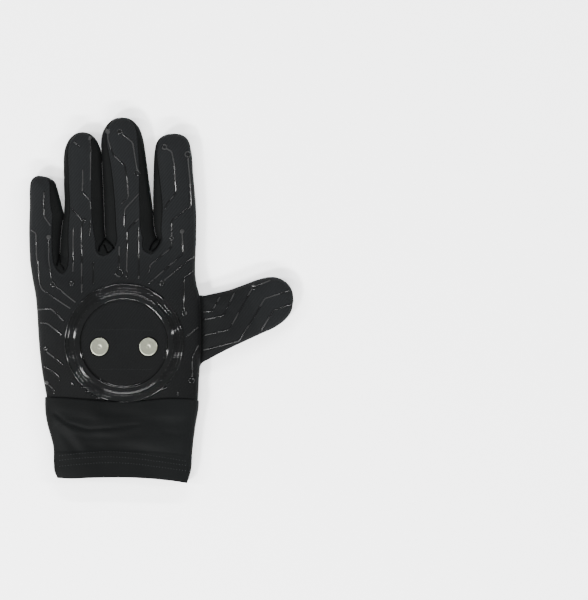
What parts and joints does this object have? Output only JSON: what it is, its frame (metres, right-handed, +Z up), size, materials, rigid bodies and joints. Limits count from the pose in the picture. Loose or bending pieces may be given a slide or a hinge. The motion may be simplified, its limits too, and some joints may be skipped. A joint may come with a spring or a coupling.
{
  "type": "electrotherapy glove",
  "caption": "Left-hand stretch-cloth electrotherapy glove with conductive pads sewn under fingers and palm, and a round silicone dock with snap studs on the back of the hand.",
  "frame": {"origin": "centre of the bounding box, on the surface that the glove lies on palm down", "axes": "+X towards the thumb, +Y towards the fingertips, +Z up from the palm to the back of the hand"},
  "size_m": [0.1856, 0.2562, 0.0217],
  "materials": {
    "back_cloth": "matt black twill",
    "palm_cloth": "matt black stretch knit",
    "silicone": "glossy black",
    "snap_metal": "satin nickel",
    "conductive_cloth": "matt silver-grey knit"
  },
  "bodies": {
    "root": {"back_panel": "back_cloth", "thumb_back": "back_cloth", "palm_panel": "palm_cloth", "side_strip_little_ring": "palm_cloth", "side_strip_ring_middle": "palm_cloth", "side_strip_middle_index": "palm_cloth", "cuff": "palm_cloth", "dock_ring": "silicone", "snap_stud_little_side": "snap_metal", "snap_stud_thumb_side": "snap_metal", "pad_index_tip": "conductive_cloth", "pad_index_root": "conductive_cloth", "pad_middle_tip": "conductive_cloth", "pad_middle_root": "conductive_cloth", "pad_ring_tip": "conductive_cloth", "pad_ring_root": "conductive_cloth", "pad_little": "conductive_cloth", "pad_palm_side": "conductive_cloth", "pad_thumb": "conductive_cloth", "pad_ball_of_thumb": "conductive_cloth"}
  },
  "joints": []
}
